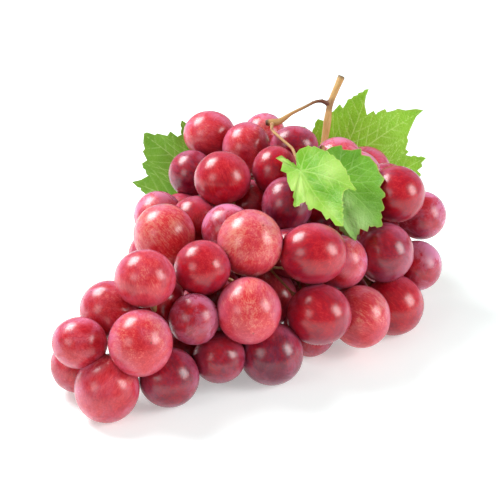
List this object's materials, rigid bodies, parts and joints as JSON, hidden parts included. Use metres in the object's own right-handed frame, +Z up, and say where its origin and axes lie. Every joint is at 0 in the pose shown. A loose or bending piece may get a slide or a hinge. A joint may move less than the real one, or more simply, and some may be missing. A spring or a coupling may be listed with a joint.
{
  "type": "bunch of grapes",
  "caption": "Bunch of red table grapes lying on its side, broad at the shoulder and tapering to a tip, with its cut stalk and vine leaves.",
  "frame": {"origin": "middle of the bounding box, on the surface that the bunch lies on", "axes": "+Z up; the bunch's own axis runs level from its tip at the front left (-X, -Y) to its shoulder at the back right (+X, +Y)"},
  "size_m": [0.1644, 0.1721, 0.0904],
  "materials": {
    "grape_skin": "satin red skin with a pale bloom",
    "stem_bark": "smooth tan to orange-brown bark",
    "leaf_back_right_green": "matt yellow-green leaf",
    "leaf_back_left_green": "matt green leaf",
    "leaf_front_upper_green": "satin light green leaf",
    "leaf_front_lower_green": "matt deep green leaf"
  },
  "bodies": {
    "root": {"berries": "grape_skin", "stem": "stem_bark", "leaf_back_right": "leaf_back_right_green", "leaf_back_left": "leaf_back_left_green", "leaf_front_upper": "leaf_front_upper_green", "leaf_front_lower": "leaf_front_lower_green"}
  },
  "joints": []
}
